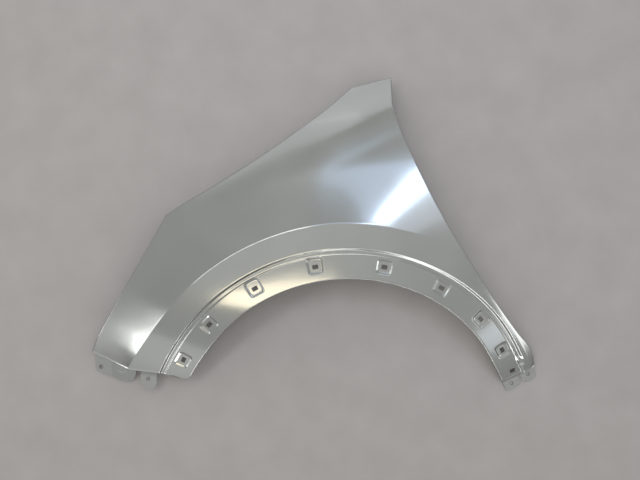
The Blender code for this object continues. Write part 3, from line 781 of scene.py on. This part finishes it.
# %% Points of the grid
def grid_points():
    """Points of the grid, one row after another."""
    table = np.zeros((len(rows), len(spokes) + 2 * len(end_values), 3))
    first = len(end_values)
    for index, row in enumerate(rows):
        table[index, first:first + len(spokes)] = row_points(row, spokes)
        if row[0] in ("lip", "fold"):
            continue
        for step, value in enumerate(end_values):
            table[index, first - 1 - step] = end_point(row, "rear", value)
            table[index, first + len(spokes) + step] = end_point(row, "front", value)
    return table


points = grid_points()
print("highest point, mm:", round(points[..., 2].max(), 2))
points[..., 2] *= high[2] / points[..., 2].max()
points = np.clip(points, low - wheel_centre, high - wheel_centre)


# %% Cells that are kept
def kept_cells():
    """Which cells of the grid belong to the sheet."""
    first, last = len(end_values), len(end_values) + len(spokes)
    keep = np.ones((len(rows) - 1, last + len(end_values) - 1), dtype=bool)
    centres = (spokes[1:] + spokes[:-1]) / 2.0
    on_hood = (centres > SPOKE_HOOD_REAR) & (centres < SPOKE_HOOD_FRONT)
    on_lobe = np.min(np.abs(centres[:, None] - np.array(LOBE_ANGLES)), axis=1) < LOBE_SPAN / 2.0
    for index in range(len(rows) - 1):
        row, ahead = rows[index], rows[index + 1]
        if ahead[0] == "fold" and ahead[1] > 2.0:
            keep[index, first:last - 1] = on_lobe if ahead[1] > 3.0 else on_hood
        for end in ("front", "rear"):
            tab, tab_ahead = tab_of(row, end)[0], tab_of(ahead, end)[0]
            folded = row[0] in ("lip", "fold") or ahead[0] in ("lip", "fold")
            for step, value in enumerate([0.0] + end_values[:-1]):
                cell = last - 1 + step if end == "front" else first - 1 - step
                gone = folded or (value >= 1.0 and tab is not tab_ahead)
                keep[index, cell] = not gone and (value < 2.0 or tab is not None)
    return keep


keep = kept_cells()
print("cells", int(keep.sum()))

# %% [markdown]
# ## Punches for the holes
#
# The press pierces the sheet with small round and oblong punches. The round holes take the
# bolts in the tabs and the lobes. The oblong ones take the clips of the arch moulding. The
# punches are made as one mesh, because one Boolean with all of them is quicker than many.

# %% Round and oblong punches
CLIP_HOLE_CORNER = 1.6
PUNCH_LENGTH = 12.0
PUNCH_SEGMENTS = 40
CORNER_STEPS = 4


def round_tool(tools, place, radius, direction):
    """Add a round punch to the tools."""
    turn = Vector(direction).to_track_quat("Z", "Y").to_matrix().to_4x4()
    bmesh.ops.create_cone(tools, cap_ends=True, segments=PUNCH_SEGMENTS, radius1=radius,
                          radius2=radius, depth=PUNCH_LENGTH,
                          matrix=Matrix.Translation(place) @ turn)


def oblong_tool(tools, angle, size):
    """Add an oblong punch with round corners, standing on the skin at a clip's place."""
    place = ring_point(CLIP_RADIUS, np.array([angle]))[0]
    height = float(skin(place[:1], place[1:])[0])
    across, along = size[0] / 2.0 - CLIP_HOLE_CORNER, size[1] / 2.0 - CLIP_HOLE_CORNER
    corners = []
    for quarter, (sx, sy) in enumerate(((1, 1), (-1, 1), (-1, -1), (1, -1))):
        for step in range(CORNER_STEPS + 1):
            turn = math.radians(90.0 * quarter + 90.0 / CORNER_STEPS * step)
            corners.append((sx * across + CLIP_HOLE_CORNER * math.cos(turn),
                            sy * along + CLIP_HOLE_CORNER * math.sin(turn)))
    stand = Matrix.Translation((place[0], place[1], height))
    stand = stand @ Matrix.Rotation(math.radians(angle), 4, "Z")
    rings = [[tools.verts.new(stand @ Vector((x, y, z))) for x, y in corners]
             for z in (-PUNCH_LENGTH / 2.0, PUNCH_LENGTH / 2.0)]
    tools.faces.new(rings[0][::-1])
    tools.faces.new(rings[1])
    for index in range(len(corners)):
        after = (index + 1) % len(corners)
        tools.faces.new((rings[0][index], rings[0][after], rings[1][after], rings[1][index]))


def make_object(name, mesh_data, matrix):
    """Object with its mesh moved to its place in the frame."""
    mesh_data.transform(matrix)
    piece = bpy.data.objects.new(name, mesh_data)
    bpy.context.scene.collection.objects.link(piece)
    return piece


print("length of the punches, mm:", PUNCH_LENGTH)

# %% Place the punches
# place of each bolt hole, and its tab's level
BOLT_HOLES = (((-448.0, 390.0), 7.0), ((-351.0, 321.0), 30.0),
              ((401.5, -49.5), 3.0), ((445.5, -46.0), 3.0))
BOLT_HOLE_RADIUS = 5.0
LOBE_HOLE_RADIUS = 3.5
LOBE_HOLE_HEIGHT = 10.0
CLIP_HOLE = (9.6, 13.0)
LAST_HOLE_ANGLE = -2.5

to_frame = Matrix.Scale(MM, 4) @ Matrix.Translation(wheel_centre)
tools = bmesh.new()
for (x, y), level in BOLT_HOLES:
    round_tool(tools, (x, y, level), BOLT_HOLE_RADIUS, (0.0, 0.0, 1.0))
for angle in LOBE_ANGLES:
    into = inward(np.array([angle]))[0]
    foot = outline(np.array([angle]))[0] + into * GUTTER_LEAN
    middle = (foot[0], foot[1], LOBE_HOLE_HEIGHT)
    round_tool(tools, middle, LOBE_HOLE_RADIUS, (into[0], into[1], 0.0))
for angle in CLIP_ANGLES:
    oblong_tool(tools, angle, CLIP_HOLE)
oblong_tool(tools, LAST_HOLE_ANGLE, CLIP_HOLE[::-1])
tool_mesh = bpy.data.meshes.new("punches")
tools.to_mesh(tool_mesh)
tools.free()
punches = make_object("punches", tool_mesh, to_frame)
print("faces of the punches", len(tool_mesh.polygons))

# %% [markdown]
# ## Thickness and holes
#
# Solidify gives the sheet its 0.8 mm on the inner side, and the punches are then taken
# away from it. The results are applied. Edges sharper than 35 degrees are marked, so that
# the cut edges stay crisp while the skin is shaded smooth.

# %% Draw, thicken and pierce the sheet
SHEET_THICKNESS = 0.8
SHARP_ANGLE = 35.0


def sheet_mesh():
    """Outer face of the sheet as a mesh."""
    columns = points.shape[1]
    i, j = np.nonzero(keep)
    corner = i * columns + j
    quads = np.stack((corner, corner + columns, corner + columns + 1, corner + 1), axis=1)
    used, renumbered = np.unique(quads, return_inverse=True)
    data = bpy.data.meshes.new("fender_sheet")
    data.from_pydata(points.reshape(-1, 3)[used].tolist(), [], renumbered.reshape(-1, 4).tolist())
    return data


def applied(piece):
    """Mesh of an object with its modifiers applied."""
    bpy.context.view_layer.update()
    graph = bpy.context.evaluated_depsgraph_get()
    return bpy.data.meshes.new_from_object(piece.evaluated_get(graph))


blank = make_object("fender_blank", sheet_mesh(), to_frame)
thickness = blank.modifiers.new("thickness", "SOLIDIFY")
thickness.thickness = SHEET_THICKNESS * MM
thickness.offset = -1.0
thickness.use_quality_normals = True
thickness.material_offset = 1
pierce = blank.modifiers.new("pierce", "BOOLEAN")
pierce.object = punches
pierce.operation = "DIFFERENCE"
pierce.solver = "EXACT"

panel = bpy.data.objects.new("fender_sheet_metal", applied(blank))
bpy.context.scene.collection.objects.link(panel)
for helper in (blank, punches):
    bpy.data.objects.remove(helper)
panel.data.shade_smooth()
panel.data.set_sharp_from_angle(angle=math.radians(SHARP_ANGLE))
print("faces", len(panel.data.polygons))

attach(panel, "root")
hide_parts("fender_panel")

# %% [markdown]
# ## Helpers for the finishes
#
# Colours are written as they look on a screen, so one function turns them linear. One
# small function adds a node with its settings and its links. All patterns use the
# object's own coordinates in metres, so a scale of 1000 makes a pattern of about 1 mm.

# %% Colour and node helpers
def linear(hex_colour):
    """Linear colour from a hex colour as seen on a screen."""
    parts = [int(hex_colour[i:i + 2], 16) / 255.0 for i in (1, 3, 5)]
    return [p / 12.92 if p <= 0.04045 else ((p + 0.055) / 1.055) ** 2.4 for p in parts] + [1.0]


def new_material(name):
    """Material with its node tree and its shader."""
    material = bpy.data.materials.new(name)
    material.use_nodes = True
    return material, material.node_tree.nodes["Principled BSDF"]


def add_node(material, kind, links=None, **settings):
    """Add a node: settings name sockets or properties, links name sockets and their sources."""
    tree = material.node_tree
    node = tree.nodes.new(kind)
    for name, value in settings.items():
        if hasattr(node, name):
            setattr(node, name, value)
        else:
            node.inputs[name.replace("_", " ")].default_value = value
    for name, source in (links or {}).items():
        tree.links.new(source, node.inputs[name])
    return node


# %% [markdown]
# ## Silver paint
#
# Car paint is layered. Over dark primer lies a thin base coat full of small aluminium
# flakes, and over that a clear coat. The flakes lie almost flat, so the base coat gives
# a soft metallic mirror image, and the clear coat adds a weak and sharp one. The real
# flakes are about 0.03 mm across, far too fine for this view, so they are drawn 0.5 mm
# across and faint. The clear coat has orange peel: waves some 3 mm long and less than
# 0.01 mm high. Spraying also leaves broad, cloudy bands, about 100 mm wide, in which the
# base coat's tone and roughness differ a little.

# %% Silver paint
silver, shader = new_material("silver_paint")
place = add_node(silver, "ShaderNodeTexCoord").outputs["Object"]
flakes = add_node(silver, "ShaderNodeTexVoronoi", {"Vector": place}, Scale=2000.0)
cloud = add_node(silver, "ShaderNodeTexNoise", {"Vector": place}, Scale=9.0, Detail=3.0)
glint = add_node(silver, "ShaderNodeMapRange", {"Value": flakes.outputs["Distance"]},
                 To_Min=0.94, To_Max=1.04)
band = add_node(silver, "ShaderNodeMapRange", {"Value": cloud.outputs["Fac"]},
                From_Min=0.3, From_Max=0.7, To_Min=0.97, To_Max=1.03)
tone = add_node(silver, "ShaderNodeMath",
                {0: glint.outputs["Result"], 1: band.outputs["Result"]}, operation="MULTIPLY")
hue = add_node(silver, "ShaderNodeVectorMath", {"Scale": tone.outputs["Value"]},
               operation="SCALE")
hue.inputs[0].default_value = linear("#ABADAA")[:3]
matte = add_node(silver, "ShaderNodeMapRange", {"Value": cloud.outputs["Fac"]},
                 From_Min=0.3, From_Max=0.7, To_Min=0.165, To_Max=0.2)
peel = add_node(silver, "ShaderNodeTexNoise", {"Vector": place}, Scale=330.0, Detail=1.0)
peel_bump = add_node(silver, "ShaderNodeBump", {"Height": peel.outputs["Fac"]},
                     Strength=0.5, Distance=0.00001)
silver.node_tree.links.new(hue.outputs["Vector"], shader.inputs["Base Color"])
silver.node_tree.links.new(matte.outputs["Result"], shader.inputs["Roughness"])
silver.node_tree.links.new(peel_bump.outputs["Normal"], shader.inputs["Coat Normal"])
shader.inputs["Metallic"].default_value = 0.9
shader.inputs["Coat Weight"].default_value = 1.0
shader.inputs["Coat Roughness"].default_value = 0.05

# %% [markdown]
# ## Primer on the inner face
#
# The bare panel is dipped in electrocoat primer, a dark, half-matte grey. Only the outer
# face is sprayed, so the inner face shows the primer with a thin mist of silver that
# drifted in. The mist is patchy, and a little metallic.

# %% Primer with overspray
primer, shader = new_material("primer")
place = add_node(primer, "ShaderNodeTexCoord").outputs["Object"]
mist = add_node(primer, "ShaderNodeTexNoise", {"Vector": place}, Scale=14.0, Detail=5.0)
coat = add_node(primer, "ShaderNodeMix", {"Factor": mist.outputs["Fac"]}, data_type="RGBA")
coat.inputs["A"].default_value = linear("#2E3131")
coat.inputs["B"].default_value = linear("#5C5F5C")
primer.node_tree.links.new(coat.outputs["Result"], shader.inputs["Base Color"])
shader.inputs["Metallic"].default_value = 0.35
shader.inputs["Roughness"].default_value = 0.5

panel.data.materials.clear()
panel.data.materials.append(silver)
panel.data.materials.append(primer)
print("finishes:", [finish.name for finish in panel.data.materials])

# %% [markdown]
# ## Floor
#
# The floor is a plain, pale and matte square, with soft clouds in its tone. It lies half a
# millimetre lower than the sheet's lowest point, so that the two never share a plane.

# %% Floor
FLOOR_SIZE = 16.0
FLOOR_DROP = 0.0005

floor_mesh = bpy.data.meshes.new("floor")
half = FLOOR_SIZE / 2.0
floor_corners = [(-half, -half, 0), (half, -half, 0), (half, half, 0), (-half, half, 0)]
floor_mesh.from_pydata(floor_corners, [], [(0, 1, 2, 3)])
floor = bpy.data.objects.new("floor", floor_mesh)
floor.location.z = -FLOOR_DROP
bpy.context.scene.collection.objects.link(floor)
pale, shader = new_material("pale_floor")
place = add_node(pale, "ShaderNodeTexCoord").outputs["Object"]
grain = add_node(pale, "ShaderNodeTexNoise", {"Vector": place}, Scale=12.0, Detail=8.0)
shade = add_node(pale, "ShaderNodeMix", {"Factor": grain.outputs["Fac"]}, data_type="RGBA")
shade.inputs["A"].default_value = linear("#BAB5B2")
shade.inputs["B"].default_value = linear("#CCC7C4")
pale.node_tree.links.new(shade.outputs["Result"], shader.inputs["Base Color"])
shader.inputs["Roughness"].default_value = 0.8
floor_mesh.materials.append(pale)
print("floor, m:", FLOOR_SIZE)

# %% [markdown]
# ## Lights
#
# Paint shows its form by what it mirrors, so the lights are large soft panels in a room
# that is brighter above than at the sides. Each stands where one part of the sheet mirrors
# it: cool ones for the shoulder, a warm one for the lip of the arch, and others beyond the
# hood, the nose, the wheel and the sill. A studio keeps such lights off the floor with
# black flags. Here light linking does that: the flagged ones light the fender only.

# %% Soft panels of light
SHOULDER, HOOD_EDGE, FLARE_TOP = (390, 470, 100), (380, 690, 57), (-100, 500, 120)
ARCH_LIP, NOSE, REAR_LEG = (-100, 300, 100), (-300, 420, 85), (460, 120, 60)
WHITE, COOL_WHITE = "#FFFFFF", "#F4F6FF"

fender_only = bpy.data.collections.new("fender_only")
fender_only.objects.link(panel)


def soft_panel(name, centre, target, size, power, colour, turn=0.0, flagged=False):
    """Rectangular light of so many watts, with places in mm from the wheel's centre."""
    data = bpy.data.lights.new(name, "AREA")
    data.shape = "RECTANGLE"
    data.size, data.size_y = size[0] * MM, size[1] * MM
    data.energy = power
    data.color = linear(colour)[:3]
    lamp = bpy.data.objects.new(name, data)
    start = Vector(wheel_centre + np.array(centre)) * MM
    end = Vector(wheel_centre + np.array(target)) * MM
    aim = (end - start).to_track_quat("-Z", "Y").to_matrix().to_4x4()
    spin = Matrix.Rotation(math.radians(turn), 4, "Z")
    lamp.matrix_world = Matrix.Translation(start) @ aim @ spin
    bpy.context.scene.collection.objects.link(lamp)
    if flagged:
        lamp.light_linking.receiver_collection = fender_only


soft_panel("cool_light", (1130, 840, 2000), SHOULDER, (420, 300), 1.6, "#CFE2FF")
soft_panel("cool_strip", (900, 1280, 2000), (300, 480, 110), (1300, 240), 1.2, "#BFD8FF")
soft_panel("cool_glow", (1150, 600, 2010), (390, 440, 100), (900, 800), 1.5, "#DCE8FF")
soft_panel("hood_light", (1577, 3978, 1996), HOOD_EDGE, (2400, 1100), 4.0, COOL_WHITE)
soft_panel("hood_glow", (100, 3000, 2000), (280, 660, 75), (2000, 500), 1.3, COOL_WHITE)
soft_panel("crease_light", (-400, 1260, 2000), FLARE_TOP, (1500, 300), 5.0, WHITE)
soft_panel("warm_light", (-450, -220, 2000), ARCH_LIP, (800, 420), 2.8, "#FFF0D0", flagged=True)
soft_panel("nose_light", (-3338, 1000, 1655), NOSE, (1060, 420), 3.7, WHITE, -30.0, flagged=True)
soft_panel("nose_strip", (-3588, 385, 1195), NOSE, (674, 330), 3.0, WHITE, -57.0, flagged=True)
soft_panel("front_light", (-3386, -1400, 1500), (-300, 330, 80), (3000, 2000), 6.0, WHITE,
           flagged=True)
soft_panel("low_light", (-1199, -2228, 650), (350, 250, 90), (1200, 600), 12.0, WHITE,
           flagged=True)
soft_panel("leg_light", (1392, -2186, 1738), REAR_LEG, (600, 600), 1.0, "#EAF2FF", flagged=True)
soft_panel("sill_light", (2160, -1768, 1450), REAR_LEG, (1200, 1200), 9.5, WHITE, flagged=True)
print("soft panels:", len(bpy.data.lights))

# %% [markdown]
# ## The room
#
# The rest of what the paint mirrors is a plain room. Its tone depends on height alone: dark
# below the horizon, grey at the sides and pale overhead.

# %% Room
world = bpy.data.worlds.new("soft_room")
world.use_nodes = True
way = add_node(world, "ShaderNodeTexCoord").outputs["Generated"]
rise = add_node(world, "ShaderNodeSeparateXYZ", {"Vector": way}).outputs["Z"]
sky = add_node(world, "ShaderNodeValToRGB", {"Fac": rise})
sky.color_ramp.elements[0].color = linear("#5A5856")
sky.color_ramp.elements[1].color = linear("#E2E2E2")
for height, colour in ((0.12, "#7A7876"), (0.3, "#B2B2B0"), (0.85, "#C3C3C1")):
    sky.color_ramp.elements.new(height).color = linear(colour)
backdrop = world.node_tree.nodes["Background"]
world.node_tree.links.new(sky.outputs["Color"], backdrop.inputs["Color"])
backdrop.inputs["Strength"].default_value = 1.0
bpy.context.scene.world = world

# %% [markdown]
# ## Camera
#
# The camera hangs 1.18 m above the floor and looks straight down, turned 25 degrees. Its
# wide field of 65 degrees is why the higher parts of the sheet seem to lean outward.

# %% Camera
CAMERA_PLACE = (137.98, 441.89, 1176.0)
CAMERA_TURN = -25.0
CAMERA_FIELD = 65.0

camera_data = bpy.data.cameras.new("camera")
camera_data.angle = math.radians(CAMERA_FIELD)
camera = bpy.data.objects.new("camera", camera_data)
camera.location = Vector(wheel_centre + np.array(CAMERA_PLACE)) * MM
print("camera, m:", [round(value, 3) for value in camera.location])
camera.rotation_euler = (0.0, 0.0, math.radians(CAMERA_TURN))
bpy.context.scene.collection.objects.link(camera)
bpy.context.scene.camera = camera
bpy.context.scene.view_settings.view_transform = "Standard"
